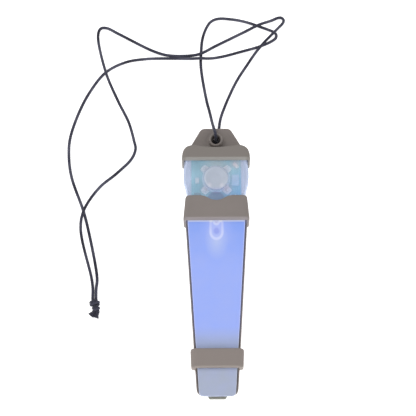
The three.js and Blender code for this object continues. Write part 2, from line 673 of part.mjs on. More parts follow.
function add(name, made, look, parent) {
  const geometry = toGeometry(solid(made));
  const mesh = new THREE.Mesh(geometry, new THREE.MeshStandardMaterial(COLOURS[look]));
  mesh.name = name;
  parent.add(mesh);
  return mesh;
}

add("holster", holster(), "rubber", light);
add("head_rear_shell", headRearShell(), "tub", head);
add("head_front_shell", headFrontShell(), "frosted", head);
add("shell_gasket", shellGasket(), "white", head);
add("battery_door", batteryDoor(), "tub", power);
add("door_seal", doorSeal(), "black", power);
add("coin_cell_lower", coinCell(CELL_Z), "metal", power);
add("coin_cell_upper", coinCell(upperCellZ), "metal", power);
add("negative_contact", negativeContact(), "brass", power);
add("positive_contact", positiveContact(), "brass", power);
add("circuit_board", circuitBoard(), "board", board);

// Surface-mounted parts: [name, x, y, width, length, height, turn in degrees, look]
const BOARD_PARTS = [
  ["controller_chip", 9.8, 39.9, 4.4, 5.8, 1.1, 0, "white"],
  ["boost_inductor", -9.5, 31.3, 3.6, 3.6, 1.6, 0, "black"],
  ["supply_capacitor", -9.6, 39.8, 2, 3.2, 0.9, 0, "white"],
  ["output_capacitor", 10.1, 47.9, 1.6, 3.4, 0.9, 40, "white"],
  ["current_resistor", 8.6, 31.6, 1.6, 3.2, 0.6, 90, "black"],
  ["timing_resistor", -5.8, 51.3, 1.3, 2.4, 0.6, 90, "black"],
  ["gate_resistor", 1.2, 51.6, 1.3, 2.4, 0.6, 90, "black"],
];
for (const [name, x, y, width, length, height, turn, look] of BOARD_PARTS) {
  const body = box(-width / 2, width / 2, -length / 2, length / 2, 0, height);
  add(name, body.rotateZ(THREE.MathUtils.degToRad(turn)).translate(x, y, partZ), look, board);
}

add("switch_body", switchBody(), "black", button);
add("switch_dome", switchDome(), "metal", button);
add("switch_plunger", switchPlunger(), "black", button);
add("switch_retainer", switchRetainer(), "white", button);
retainerScrewPlaces().forEach(([x, y], i) => {
  add(`retainer_screw_${i + 1}`, retainerScrew().translate(x, y, 0), "metal", button);
});
add("button_cap", buttonCap(), "frosted", button);

add("light_blade", lightBlade(), "lit", bladeUnit);
add("blade_reflector", bladeReflector(), "white", bladeUnit);
add("blade_led", bladeLed(), "white", bladeUnit);
add("led_lead_anode", ledLead(LEAD.apart / 2), "metal", bladeUnit);
add("led_lead_cathode", ledLead(-LEAD.apart / 2), "metal", bladeUnit);

add("lanyard_front_strand", cordTube(FRONT_STRAND), "cord", lanyard);
add("lanyard_back_strand", cordTube(BACK_STRAND), "cord", lanyard);
add("lanyard_knot", lanyardKnot(), "cord", lanyard);
add("lanyard_tail_left", cordTube(TAIL_LEFT), "cord", lanyard);
add("lanyard_tail_right", cordTube(TAIL_RIGHT), "cord", lanyard);

export default light;
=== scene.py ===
import json
import math

import bmesh
import bpy
from mathutils import Matrix, Vector


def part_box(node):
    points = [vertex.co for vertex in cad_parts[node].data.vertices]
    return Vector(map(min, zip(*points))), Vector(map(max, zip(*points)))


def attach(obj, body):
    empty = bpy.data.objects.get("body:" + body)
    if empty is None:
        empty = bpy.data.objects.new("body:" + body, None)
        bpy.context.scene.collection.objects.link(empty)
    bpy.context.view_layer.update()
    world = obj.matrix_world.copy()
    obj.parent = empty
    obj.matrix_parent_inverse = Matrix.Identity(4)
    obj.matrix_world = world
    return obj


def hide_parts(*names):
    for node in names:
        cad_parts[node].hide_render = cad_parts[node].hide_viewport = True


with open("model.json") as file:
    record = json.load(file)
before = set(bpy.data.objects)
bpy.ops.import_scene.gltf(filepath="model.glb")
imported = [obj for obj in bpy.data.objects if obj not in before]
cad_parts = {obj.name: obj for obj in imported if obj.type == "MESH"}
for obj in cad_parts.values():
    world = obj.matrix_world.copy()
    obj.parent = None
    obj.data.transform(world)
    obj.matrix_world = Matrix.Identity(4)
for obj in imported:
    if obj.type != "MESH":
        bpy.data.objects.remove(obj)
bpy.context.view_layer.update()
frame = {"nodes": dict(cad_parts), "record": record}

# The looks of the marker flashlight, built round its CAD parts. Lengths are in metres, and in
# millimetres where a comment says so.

NODES = frame["nodes"]
BODIES = frame["record"]["behaviour"]["bodies"]
BODY_OF = {node: body for body, nodes in BODIES.items() for node in nodes}
MM = 0.001
TAU = 2 * math.pi

# ---------- camera ----------
TARGET = Vector((-4.2, 28.3, 0)) * MM
DISTANCE = 0.8
TILT = math.radians(16.3)
ROLL = math.radians(-0.32)
LENS = 134.9
SENSOR = 36  # width of the film in millimetres, which the lens length goes with
CLIP = (0.01, 20)


def make_camera():
    camera = bpy.data.objects.new("camera", bpy.data.cameras.new("camera"))
    bpy.context.scene.collection.objects.link(camera)
    camera.data.lens = LENS
    camera.data.sensor_width = SENSOR
    camera.data.clip_start, camera.data.clip_end = CLIP
    turn = Matrix.Rotation(TILT, 4, "X") @ Matrix.Rotation(ROLL, 4, "Z")
    camera.matrix_world = Matrix.Translation(TARGET) @ turn @ Matrix.Translation((0, 0, DISTANCE))
    bpy.context.scene.camera = camera



make_camera()


# ---------- meshes ----------
def new_object(name, mesh):
    piece = bpy.data.objects.new(name, mesh)
    bpy.context.scene.collection.objects.link(piece)
    return piece


def mesh_from(name, points, faces, smooth=True):
    mesh = bpy.data.meshes.new(name)
    mesh.from_pydata([tuple(p) for p in points], [], faces)
    mesh.validate()
    for polygon in mesh.polygons:
        polygon.use_smooth = smooth
    return new_object(name, mesh)


def bake_modifiers(piece):
    """Replaces the piece's mesh with what its modifiers make of it."""
    bpy.context.view_layer.update()
    seen = piece.evaluated_get(bpy.context.evaluated_depsgraph_get())
    mesh = bpy.data.meshes.new_from_object(seen)
    old = piece.data
    piece.modifiers.clear()
    piece.data = mesh
    mesh.name = piece.name
    if old.users == 0:
        bpy.data.meshes.remove(old)
    return piece


def moulded(node, voxel, passes, factor=0.5):
    """A copy of a CAD node with its facets melted into one smooth skin with rounded edges.
    voxel is in millimetres."""
    piece = new_object(node + "_look", NODES[node].data.copy())
    piece.data.materials.clear()
    remesh = piece.modifiers.new("remesh", "REMESH")
    remesh.mode = "VOXEL"
    remesh.voxel_size = voxel * MM
    remesh.use_smooth_shade = True
    smooth = piece.modifiers.new("smooth", "SMOOTH")
    smooth.factor = factor
    smooth.iterations = passes
    return bake_modifiers(piece)


def joined(name, parts):
    """One object from several meshes, with their UVs and materials."""
    first = parts[0]
    with bpy.context.temp_override(active_object=first, selected_editable_objects=parts):
        bpy.ops.object.join()
    first.name = name
    first.data.name = name
    return first


def put(piece, node, *materials):
    """Dresses a piece and lets it stand for a CAD node, on that node's body."""
    for material in materials:
        piece.data.materials.append(material)
    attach(piece, BODY_OF[node])
    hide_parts(node)
    return piece


# ---------- materials ----------
def srgb(red, green, blue):
    """A colour given in 8-bit display values, as linear light."""
    def linear(value):
        value /= 255
        return value / 12.92 if value <= 0.04045 else ((value + 0.055) / 1.055) ** 2.4
    return tuple(linear(v) for v in (red, green, blue))


def scaled(colour, factor):
    return tuple(min(c * factor, 1) for c in colour)


class Material:
    """A Principled material with short ways to wire its procedural nodes."""

    def __init__(self, name, colour, roughness=0.5, metallic=0.0, alpha=1.0, coordinates="Object"):
        self.data = bpy.data.materials.new(name)
        self.data.use_nodes = True
        self.tree = self.data.node_tree
        self.shader = self.tree.nodes["Principled BSDF"]
        self.set("Base Color", (*colour, 1))
        self.set("Roughness", roughness)
        self.set("Metallic", metallic)
        self.set("Alpha", alpha)
        self.coordinates = self.tree.nodes.new("ShaderNodeTexCoord").outputs[coordinates]
        split = self.tree.nodes.new("ShaderNodeSeparateXYZ")
        self.link(self.coordinates, split.inputs["Vector"])
        self.x, self.y, self.z = split.outputs

    def link(self, output, target):
        self.tree.links.new(output, target)

    def drive(self, socket, output):
        self.link(output, self.shader.inputs[socket])

    def set(self, socket, value):
        self.shader.inputs[socket].default_value = value

    def noise(self, scale, detail=3.0, stretch=(1, 1, 1)):
        made = self.tree.nodes.new("ShaderNodeTexNoise")
        made.inputs["Scale"].default_value = scale
        made.inputs["Detail"].default_value = detail
        mapping = self.tree.nodes.new("ShaderNodeMapping")
        mapping.inputs["Scale"].default_value = stretch
        self.link(self.coordinates, mapping.inputs["Vector"])
        self.link(mapping.outputs["Vector"], made.inputs["Vector"])
        return made.outputs["Fac"]

    def ramp(self, factor, *stops):
        """A colour ramp through (position, colour) stops."""
        made = self.tree.nodes.new("ShaderNodeValToRGB")
        self.link(factor, made.inputs["Fac"])
        points = made.color_ramp.elements
        while len(points) < len(stops):
            points.new(0.5)
        for point, (position, colour) in zip(points, stops):
            point.position = position
            point.color = (*colour, 1)
        return made.outputs["Color"]

    def range(self, value, low, high, to_low=0.0, to_high=1.0):
        """value carried from low..high to to_low..to_high, and held at both ends."""
        made = self.tree.nodes.new("ShaderNodeMapRange")
        self.link(value, made.inputs["Value"])
        numbers = {"From Min": low, "From Max": high, "To Min": to_low, "To Max": to_high}
        for socket, number in numbers.items():
            made.inputs[socket].default_value = number
        return made.outputs["Result"]

    def math(self, operation, first, second=0.0):
        made = self.tree.nodes.new("ShaderNodeMath")
        made.operation = operation
        for slot, value in enumerate((first, second)):
            if isinstance(value, (int, float)):
                made.inputs[slot].default_value = value
            else:
                self.link(value, made.inputs[slot])
        return made.outputs["Value"]

    def far_from(self, x, y, stretch_y=1.0):
        """Distance in the XY plane from a point, with Y counted stretch_y times."""
        across = self.math("SUBTRACT", self.x, x)
        along = self.math("MULTIPLY", self.math("SUBTRACT", self.y, y), stretch_y)
        squares = self.math(
            "ADD", self.math("MULTIPLY", across, across), self.math("MULTIPLY", along, along))
        return self.math("SQRT", squares)

    def grain(self, scale, low, high, detail=3):
        """A fine noise spread over low..high, for uneven gloss and faint clouds."""
        return self.range(self.noise(scale, detail), 0.3, 0.7, low, high)

    def patch(self, colour, x, y, inner, outer, strength, tint, stretch_y=1.0):
        """The colour with a soft round patch of tint, full inside inner and gone past outer."""
        there = self.range(self.far_from(x, y, stretch_y), inner, outer, strength, 0)
        return self.mix(there, colour, tint)

    def band(self, value, middle, half, soft):
        """1 where value is within half of middle, fading to 0 over soft."""
        away = self.math("ABSOLUTE", self.math("SUBTRACT", value, middle))
        return self.range(away, half, half + soft, 1, 0)

    def mix(self, factor, first, second):
        """Mixes two colours; each is a socket or a colour."""
        made = self.tree.nodes.new("ShaderNodeMix")
        made.data_type = "RGBA"
        targets = (made.inputs[0], made.inputs[6], made.inputs[7])
        for value, target in zip((factor, first, second), targets):
            if isinstance(value, tuple):
                target.default_value = (*value, 1)
            elif isinstance(value, (int, float)):
                target.default_value = value
            else:
                self.link(value, target)
        return made.outputs[2]

    def bump(self, height, strength, distance):
        made = self.tree.nodes.new("ShaderNodeBump")
        made.inputs["Strength"].default_value = strength
        made.inputs["Distance"].default_value = distance
        self.link(height, made.inputs["Height"])
        self.drive("Normal", made.outputs["Normal"])

    def uneven(self, colour, spread=0.06, scale=260.0):
        """The colour with soft clouds a little darker and paler."""
        clouds = self.noise(scale, 4)
        return self.ramp(clouds, (0.3, scaled(colour, 1 - spread)), (0.7, scaled(colour, 1 + spread)))


def plain(name, colour, roughness, metallic=0.0, spread=0.06, grain=2500.0, depth=0.1):
    """A moulded, plated or painted surface: clouded colour, uneven gloss and a fine grain."""
    made = Material(name, colour, roughness, metallic)
    made.drive("Base Color", made.uneven(colour, spread))
    made.drive("Roughness", made.grain(700, roughness * 0.85, min(roughness * 1.2, 1)))
    made.bump(made.noise(grain, 2), depth, 0.00003)
    return made.data


RUBBER = srgb(136, 128, 124)
RUBBER_TONES_AND_SHADE = (
    # painted shade on the tab where it lies back behind the hood, lighter again at its top, with the hood
    # and above a little darker and the lower end a little lighter: y where the tint starts, y where it is
    # full, strength, colour
    (0.01, -0.05, 0.7, srgb(145, 135, 130)),
    (0.035, 0.05, 0.9, srgb(130, 124, 119)),
    (0.057, 0.06, 0.8, srgb(130, 122, 118)),
    (0.065, 0.0695, 0.8, srgb(140, 131, 128)),
)
RUBBER_LIP_HIGHLIGHTS = (
    # lower edge, height and colour of the painted highlight on each band's lower lip
    (0.0495, 0.0012, srgb(160, 158, 154)),
    (0.0179, 0.0012, srgb(156, 148, 150)),
    (-0.0559, 0.0007, srgb(158, 149, 143)),
)
LIP_HALF = (0.0148, 0.0162)  # the painted lip highlight fades out between these distances from the middle line
END_TAB_Y = (-0.0687, -0.0693)  # the end tab's painted olive shade starts between these
END_TAB_SHADE_TONE = srgb(152, 152, 142)
RUBBER_DUST = srgb(168, 163, 160)


def rubber_material():
    made = Material("holster_rubber_look", RUBBER, 0.62)
    clouds = made.noise(90, 4)
    colour = made.ramp(clouds, (0.25, scaled(RUBBER, 0.95)), (0.75, scaled(RUBBER, 1.05)))
    # painted shade on the tab, and the tones of the hood and the lower end
    for start, full, strength, tint in RUBBER_TONES_AND_SHADE:
        colour = made.mix(made.range(made.y, start, full, 0, strength), colour, tint)
    face = made.range(made.math("ABSOLUTE", made.x), *LIP_HALF, 0.75, 0.25)
    # painted highlights along the bands' lower lips
    for low, size, lip in RUBBER_LIP_HIGHLIGHTS:
        edge = made.math("MULTIPLY", made.band(made.y, low + size / 2, size * 0.6, 0.0003), face)
        colour = made.mix(edge, colour, lip)
    dust = made.range(made.noise(5200, 2), 0.64, 0.82, 0, 0.15)
    # painted shade: the end tab in an olive grey
    colour = made.mix(made.range(made.y, *END_TAB_Y, 0, 1), colour, END_TAB_SHADE_TONE)
    made.drive("Base Color", made.mix(dust, colour, RUBBER_DUST))
    made.drive("Roughness", made.range(clouds, 0.3, 0.7, 0.56, 0.7))
    made.set("Specular IOR Level", 0.35)
    made.bump(made.noise(3800, 3), 0.16, 0.00006)
    return made.data


# yarn colours from the painted shade in the gaps between yarns (deep) to the painted light on their
# crests (high)
YARN = {"deep": srgb(24, 24, 38), "mid": srgb(46, 48, 66), "high": srgb(78, 78, 98)}
YARN_WORN = srgb(84, 82, 100)
YARN_FADED = srgb(96, 96, 112)
YARN_DARK = srgb(22, 20, 36)


def braid_material():
    """Two sets of crossing yarns on the cord's own UVs: along, and once round per unit, with painted
    shade in the gaps between them.
    """
    made = Material("braid_look", srgb(44, 46, 64), 0.85, coordinates="UV")
    right = made.math("SINE", made.math("MULTIPLY", made.math("ADD", made.x, made.y), TAU))
    left = made.math("SINE", made.math("MULTIPLY", made.math("SUBTRACT", made.x, made.y), TAU))
    weave = made.range(made.math("MULTIPLY", right, left), -1, 1)
    yarn = made.ramp(weave, (0.1, YARN["deep"]), (0.55, YARN["mid"]), (0.95, YARN["high"]))
    yarn = made.mix(made.range(made.noise(7, 4), 0.45, 0.75, 0, 0.35), yarn, YARN_WORN)
    # slow changes of tone along the cord
    tone = made.noise(0.11, 2)
    yarn = made.mix(made.range(tone, 0.5, 0.65, 0, 0.6), yarn, YARN_FADED)
    made.drive("Base Color", made.mix(made.range(tone, 0.48, 0.36, 0, 0.7), yarn, YARN_DARK))
    made.bump(weave, 0.5, 0.00008)
    made.set("Sheen Weight", 0.15)
    made.set("Sheen Roughness", 0.5)
    return made.data


BUTTON_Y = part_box("button_cap")[0][1] / 2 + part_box("button_cap")[1][1] / 2
BOARD_HALF = 0.0125  # the shell's side walls stand outside the board
OUTSIDE = 0.0156  # beyond this the head's skin faces sideways and is painted in shade
SIDE_SHADE = srgb(150, 166, 200)
# painted shade in the thumb dish's hollow, darker and bluer
THUMB_DISH_SHADE = {"y": 0.0283, "radius": 0.0046, "colour": srgb(150, 158, 192)}
BLOOMS = (
    # what the frosting blurs: x, y from the button's middle, radius, strength and colour
    (0.0, 0.0, 0.0084, 0.9, srgb(182, 188, 204)),
    (0.0, 0.0082, 0.0065, 0.35, srgb(218, 208, 210)),
    (0.0100, 0.0076, 0.0036, 0.6, srgb(214, 200, 208)),
    (-0.0098, 0.0066, 0.0048, 0.3, srgb(120, 138, 148)),
    (-0.0056, 0.0050, 0.0032, 0.5, srgb(184, 172, 184)),
    (0.0052, 0.0050, 0.0032, 0.5, srgb(190, 180, 192)),
    (-0.0058, -0.0056, 0.0032, 0.5, srgb(190, 176, 196)),
    (0.0054, -0.0056, 0.0034, 0.65, srgb(204, 190, 208)),
    (-0.0095, -0.0004, 0.0028, 0.4, srgb(176, 184, 206)),
    (0.0098, -0.0004, 0.0034, 0.3, srgb(178, 188, 226)),
    (-0.0102, -0.0052, 0.0050, 0.3, srgb(126, 160, 192)),
)
BLOOM_CORE = 0.3  # share of a bloom's radius that has its full strength


# painted shade on the sides, where the skin faces sideways
def shaded_sides(made, colour):
    outside = made.range(made.math("ABSOLUTE", made.x), OUTSIDE, OUTSIDE + 0.0008, 0, 0.8)
    return made.mix(outside, colour, SIDE_SHADE)


def shell_material():
    """Frosted plastic with the blade's light painted into it as a faint glow, strongest at the lower
    right.
    """
    base = srgb(178, 208, 228)
    made = Material("frosted_shell_look", base, 0.38, alpha=0.3)
    rightward = made.math("MULTIPLY", made.x, 0.6)
    upward = made.math("MULTIPLY", made.math("SUBTRACT", made.y, BUTTON_Y), 0.8)
    blue = made.range(made.math("SUBTRACT", rightward, upward), 0.002, 0.013, 0, 0.8)
    body = made.mix(blue, made.uneven(base, 0.04, 300), srgb(150, 188, 240))
    wall = made.range(made.math("ABSOLUTE", made.x), BOARD_HALF, BOARD_HALF + 0.0006)
    body = made.mix(wall, body, srgb(212, 222, 248))
    body = shaded_sides(made, body)
    for x, y, radius, strength, tint in BLOOMS:
        body = made.patch(body, x, BUTTON_Y + y, radius * BLOOM_CORE, radius, strength, tint)
    # painted shade in the thumb dish
    radius = THUMB_DISH_SHADE["radius"]
    seen = made.patch(body, 0, THUMB_DISH_SHADE["y"], radius, radius * 1.15, 1, THUMB_DISH_SHADE["colour"])
    made.drive("Base Color", seen)
    made.drive("Emission Color", seen)
    made.set("Emission Strength", 0.3)
    made.drive("Roughness", made.grain(900, 0.32, 0.45))
    made.bump(made.noise(2600, 2), 0.12, 0.00004)
    return made.data


def tub_material():
    """The rear shell: pale inside, where the light reaches, with painted shade on its outer sides."""
    pale = (0.72, 0.79, 0.9)
    made = Material("tub_plastic_look", pale, 0.5)
    made.drive("Base Color", shaded_sides(made, made.uneven(pale, 0.04)))
    made.drive("Roughness", made.grain(700, 0.42, 0.6))
    made.bump(made.noise(2500, 2), 0.1, 0.00003)
    return made.data


CAP_GLINTS = ((-0.0034, -0.0040), (0.0030, -0.0042))  # painted reflections: x, and y from the button's middle
CAP_LIGHTENED_RIM = (0.0048, 0.0060)  # painted light: the rim pales between these radii, against the shade of the gap round the button


def cap_material():
    """The button: pale frosted plastic, with two painted reflections of light in its lower rim, a rim
    painted paler, and darker and bluer towards its bottom.
    """
    base = srgb(181, 190, 206)
    made = Material("button_look", base, 0.42)
    colour = made.uneven(base, 0.03, 400)
    for x, y in CAP_GLINTS:
        colour = made.patch(
            colour, x, BUTTON_Y + y, 0.0003, 0.0016, 0.75, srgb(214, 214, 228), stretch_y=0.8)
    # painted light on the rim, against the shade of the gap round the button
    rim = made.range(made.far_from(0, BUTTON_Y), *CAP_LIGHTENED_RIM, 0, 0.7)
    colour = made.mix(rim, colour, srgb(196, 206, 222))
    low = made.range(made.y, BUTTON_Y - 0.0045, BUTTON_Y - 0.006, 0, 0.5)
    made.drive("Base Color", made.mix(low, colour, srgb(165, 172, 212)))
    made.drive("Roughness", made.grain(900, 0.36, 0.5))
    made.bump(made.noise(2600, 2), 0.1, 0.00003)
    return made.data


BLADE_HALF = 0.01342  # half width of the blade at y = 0
BLADE_TAPER = 0.062  # growth of that half width along +Y
LIT_FROM = (-0.047, -0.035)  # the light fades out between these
DEEP_FROM = (-0.005, 0.018)  # the blue deepens between these, beside the diode
FADED = {"y": -0.046, "half": 0.001, "soft": 0.006}  # duller stretch where the light ends
SPILL = {"y": 0.0078, "inner": 0.0005, "outer": 0.0062}  # light that leaves the diode's tip
POCKET = {"half": 0.003, "y": 0.0124, "squeeze": 0.85}  # the U-shaped pocket round the diode
HEART = {"y": 0.0128, "inner": 0.001, "outer": 0.0019}  # the diode's darker middle
COLLAR = {"y": 0.0187, "rim": (0.0019, 0.0024), "inside": (0.0009, 0.0014)}  # its flange
TOP_LINE = (0.0173, 0.0177)  # the painted highlight along the blade's top edge starts between these
TOP_GLINTS = {"xs": (-0.0027, 0.0021), "y": 0.0182}


def pocket_looks(made, body):
    """The diode's pocket: light spilling below it, a painted highlight for its outline, darker heart and
    collar.
    """
    body = made.patch(body, 0, SPILL["y"], SPILL["inner"], SPILL["outer"], 0.65,
                      srgb(192, 205, 240), stretch_y=0.62)
    below = made.math("MINIMUM", made.math("SUBTRACT", made.y, POCKET["y"]), 0.0)
    below = made.math("MULTIPLY", below, POCKET["squeeze"])
    round_end = made.math("SQRT", made.math(
        "ADD", made.math("MULTIPLY", made.x, made.x), made.math("MULTIPLY", below, below)))
    inside = made.range(round_end, POCKET["half"], POCKET["half"] + 0.0003, 0.6, 0)
    body = made.mix(inside, body, srgb(178, 190, 250))
    body = made.patch(body, 0, HEART["y"], HEART["inner"], HEART["outer"], 0.95,
                      srgb(152, 166, 240), stretch_y=0.9)
    collar = made.far_from(0, COLLAR["y"], 0.7)
    body = made.mix(made.range(collar, *COLLAR["rim"], 0.9, 0), body, srgb(206, 214, 252))
    body = made.mix(made.range(collar, *COLLAR["inside"], 0.9, 0), body, srgb(178, 176, 222))
    # painted highlight along the pocket's outline
    outline = made.band(round_end, POCKET["half"], 0.0003, 0.0006)
    strength = made.range(made.y, 0.0115, 0.0155, 0.85, 0.45)
    return made.mix(made.math("MULTIPLY", outline, strength), body, srgb(208, 216, 255))


def blade_material():
    """Frosted light guide: lit blue from its top end, fading to plain plastic at the tip."""
    made = Material("lit_blade_look", srgb(118, 142, 205), 0.4)
    lit = made.range(made.y, *LIT_FROM)
    deep = made.range(made.y, *DEEP_FROM, 0, 0.9)
    beside = made.math("MULTIPLY", deep, made.range(made.far_from(0, 0.013, 0.6), 0.003, 0.009))
    body = made.mix(lit, srgb(173, 182, 203), srgb(156, 178, 252))
    body = made.mix(beside, body, srgb(131, 163, 245))
    faded = made.band(made.y, FADED["y"], FADED["half"], FADED["soft"])
    body = made.mix(made.math("MULTIPLY", faded, 0.6), body, srgb(154, 168, 200))
    body = made.mix(made.grain(120, 0, 0.25), body, srgb(172, 184, 240))
    body = pocket_looks(made, body)

    # painted highlights on the edges: across the top and along both sides
    body = made.mix(made.range(made.y, *TOP_LINE, 0, 0.9), body, srgb(214, 222, 252))
    for x in TOP_GLINTS["xs"]:
        body = made.patch(body, x, TOP_GLINTS["y"], 0.0003, 0.0012, 0.9, srgb(240, 242, 255))
    wide = made.math("ADD", made.math("MULTIPLY", made.y, BLADE_TAPER), BLADE_HALF)
    side = made.math("SUBTRACT", wide, made.math("ABSOLUTE", made.x))
    rim = made.range(side, 0.0002, 0.0005, 1, 0)
    rim_colour = made.mix(lit, srgb(194, 198, 210), srgb(198, 206, 250))
    body = made.mix(made.math("MULTIPLY", rim, 0.65), body, rim_colour)

    # where it is lit, half of the colour is glow and half is reflected
    dimmed = made.mix(0.52, body, (0.0, 0.0, 0.0))
    made.drive("Base Color", made.mix(lit, body, dimmed))
    made.drive("Emission Color", made.mix(lit, (0.0, 0.0, 0.0), body))
    made.set("Emission Strength", 0.52)
    made.drive("Roughness", made.grain(500, 0.34, 0.46))
    made.bump(made.noise(2600, 2), 0.08, 0.00003)
    return made.data


SOLDER_MASK = (0.15, 0.4, 0.45)
TRACK_PITCH = {"x": 0.0024, "y": 0.0062}


def board_material():
    """Solder mask with pale tracks under it, greener at its upper edge."""
    made = Material("board_look", SOLDER_MASK, 0.35)
    ground = made.uneven(SOLDER_MASK, 0.1, 160)
    ground = made.patch(ground, 0, 0.0505, 0.002, 0.009, 0.8, (0.22, 0.46, 0.42), stretch_y=1.6)
    turns = {
        "x": made.math("MULTIPLY", made.x, TAU / TRACK_PITCH["x"]),
        "y": made.math("MULTIPLY", made.y, TAU / TRACK_PITCH["y"]),
    }
    across, along = (made.math("ABSOLUTE", made.math("SINE", turns[axis])) for axis in "xy")
    track = made.math("MULTIPLY", made.range(across, 0.9, 0.97), made.range(along, 0.2, 0.4))
    made.drive("Base Color", made.mix(made.math("MULTIPLY", track, 0.35), ground, (0.36, 0.58, 0.6)))
    made.drive("Roughness", made.range(track, 0, 1, 0.3, 0.45))
    made.bump(track, 0.3, 0.00004)
    return made.data


def brushed(name, colour, roughness, turns_about=None):
    """Metal with fine lines: straight, or round a point given as (x, y)."""
    made = Material(name, colour, roughness, 1.0)
    if turns_about:
        lines = made.tree.nodes.new("ShaderNodeTexNoise")
        lines.noise_dimensions = "1D"
        lines.inputs["Scale"].default_value = 9000
        made.link(made.far_from(*turns_about), lines.inputs["W"])
        streak = lines.outputs["Fac"]
    else:
        streak = made.noise(900, 3, stretch=(12, 1, 12))
    made.drive("Base Color", made.ramp(streak, (0.3, scaled(colour, 0.85)), (0.7, scaled(colour, 1.08))))
    made.drive("Roughness", made.range(streak, 0.3, 0.7, roughness * 0.8, roughness * 1.3))
    made.bump(streak, 0.12, 0.00003)
    return made.data


# ---------- lanyard ----------
CORD = 1.6  # diameter, in millimetres like the routes below
REST = 0.82  # height of the cord's middle where it lies flat
OVER = 2.7  # height of the cord's middle where it crosses another stretch

FRONT_STRAND = [
    (0, 62.9, 5.3), (0, 63.8, 8.5), (-0.3, 65.9, 9.5), (-1.1, 69.2, 8), (-2, 74, 4.1),
    (-3.1, 80, 1.4), (-4.6, 86.3, REST), (-7.5, 105, REST), (-7.4, 113.5, REST),
    (-6.7, 121, REST), (-4.7, 127.2, REST), (-2.2, 131, REST), (1.4, 132.7, REST),
    (8.8, 132.4, REST), (16.8, 130.7, REST), (25.3, 127.5, REST), (31.1, 125, REST),
    (32.35, 123.7, REST), (32.35, 121.9, REST), (31.1, 120.5, REST), (25.1, 117.4, REST),
    (13.4, 113.8, REST), (2.9, 111, REST), (-3, 109.9, 1.6), (-7.5, 109.6, OVER),
    (-12.5, 109.9, 1.5), (-23.3, 110.3, REST), (-36.3, 110.1, REST), (-47.4, 108.2, REST),
    (-57.6, 102.6, REST), (-65.4, 92.3, REST), (-71.3, 80.2, REST), (-75.6, 66.1, REST),
    (-76.1, 57, REST), (-74.6, 45.5, REST), (-68, 26.6, REST), (-65.6, 17.6, REST),
    (-60.5, -8.9, REST), (-60.93, -14.5, REST), (-60.96, -19.4, REST),
]

BACK_STRAND = [
    (0.1, 62.7, 4.1), (0.5, 63.4, 1.75), (1, 65.2, 0.92), (1.7, 70.8, REST), (2.8, 77.3, REST),
    (10.5, 96, REST), (17, 106.7, REST), (21.3, 113, 1.4), (25.4, 117.8, OVER),
    (31.5, 124.4, OVER), (33.9, 127.4, 1.5), (36.2, 130.3, REST), (36.5, 131.9, REST),
    (35.4, 133.1, REST), (33.6, 133.1, REST), (30, 131.4, 1.2), (23.2, 128.4, OVER),
    (16.5, 125.4, 1.3), (0.3, 117.1, 1.1), (-7.4, 112.3, OVER), (-12.2, 111.65, 1.5),
    (-24.6, 112.05, REST), (-32.3, 114.4, REST), (-51, 124.4, REST), (-57.2, 127.7, REST),
    (-60.4, 127.6, REST), (-61.9, 124.2, REST), (-57.5, 102.2, OVER), (-50.9, 86.5, REST),
    (-45.3, 74.8, REST), (-42.4, 64.5, REST), (-41.6, 60.2, REST), (-43.5, 54.9, REST),
    (-51, 47.1, REST), (-60.2, 39.1, REST), (-67.8, 26.3, OVER), (-69.3, 17.1, REST),
    (-63.3, -8.9, REST), (-62.6, -14.5, REST), (-62.6, -19.4, REST),
]

TAIL_LEFT = [(-61.8, -26.2, 1.4), (-62.6, -27.1, 1.1), (-63.4, -28, REST)]
TAIL_RIGHT = [(-60, -26.3, 1.4), (-60.5, -27.6, 1), (-61, -29.1, REST)]
TAIL_ROOTS = {"lanyard_tail_left": (-61.2, -24.9, 1.6), "lanyard_tail_right": (-60.4, -24.9, 1.6)}
TAIL_RADIUS = 1.08  # the cut ends are loose, so a little thicker than the cord

BRAID_SIDES = 16
BRAID_STEP = 0.35  # millimetres between rings
BRAID_LOBES = 4  # yarns seen round half the cord
BRAID_PITCH = 2.6  # millimetres for a yarn to go round once
BRAID_SWELL = 0.05  # how far the yarns stand out, as a share of the radius
FLARE = 1.6  # how much wider a tail gets at its cut end
FLARE_RINGS = 5
FLOOR_GAP = 0.02  # a loose end spreads over the floor and doesn't sink into it


TINY = 1e-9


def laid_curve(points, step):
    """Even points, step apart, on the centripetal Catmull-Rom curve that the CAD strands follow."""
    route = [Vector(p) for p in points]
    ends = [2 * route[0] - route[1], *route, 2 * route[-1] - route[-2]]
    dense = []
    for i in range(1, len(ends) - 2):
        p0, p1, p2, p3 = ends[i - 1:i + 3]
        d0, d1, d2 = ((b - a).length ** 0.5 for a, b in ((p0, p1), (p1, p2), (p2, p3)))
        out = ((p1 - p0) / d0 - (p2 - p0) / (d0 + d1) + (p2 - p1) / d1) * d1
        back = ((p2 - p1) / d1 - (p3 - p1) / (d1 + d2) + (p3 - p2) / d2) * d1
        count = max(4, math.ceil((p2 - p1).length / step) * 2)
        for k in range(count):
            t = k / count
            dense.append(
                (2 * t**3 - 3 * t**2 + 1) * p1 + (t**3 - 2 * t**2 + t) * out
                + (3 * t**2 - 2 * t**3) * p2 + (t**3 - t**2) * back)
    dense.append(route[-1])
    return resampled(dense, step)


def resampled(dense, step):
    """Points close to step apart along a line of closer points."""
    lengths = [0.0]
    for a, b in zip(dense, dense[1:]):
        lengths.append(lengths[-1] + (b - a).length)
    count = max(2, round(lengths[-1] / step))
    even = []
    at = 0
    for k in range(count + 1):
        goal = lengths[-1] * k / count
        while at < len(dense) - 2 and lengths[at + 1] < goal:
            at += 1
        share = (goal - lengths[at]) / max(lengths[at + 1] - lengths[at], TINY)
        even.append(dense[at].lerp(dense[at + 1], min(max(share, 0), 1)))
    return even


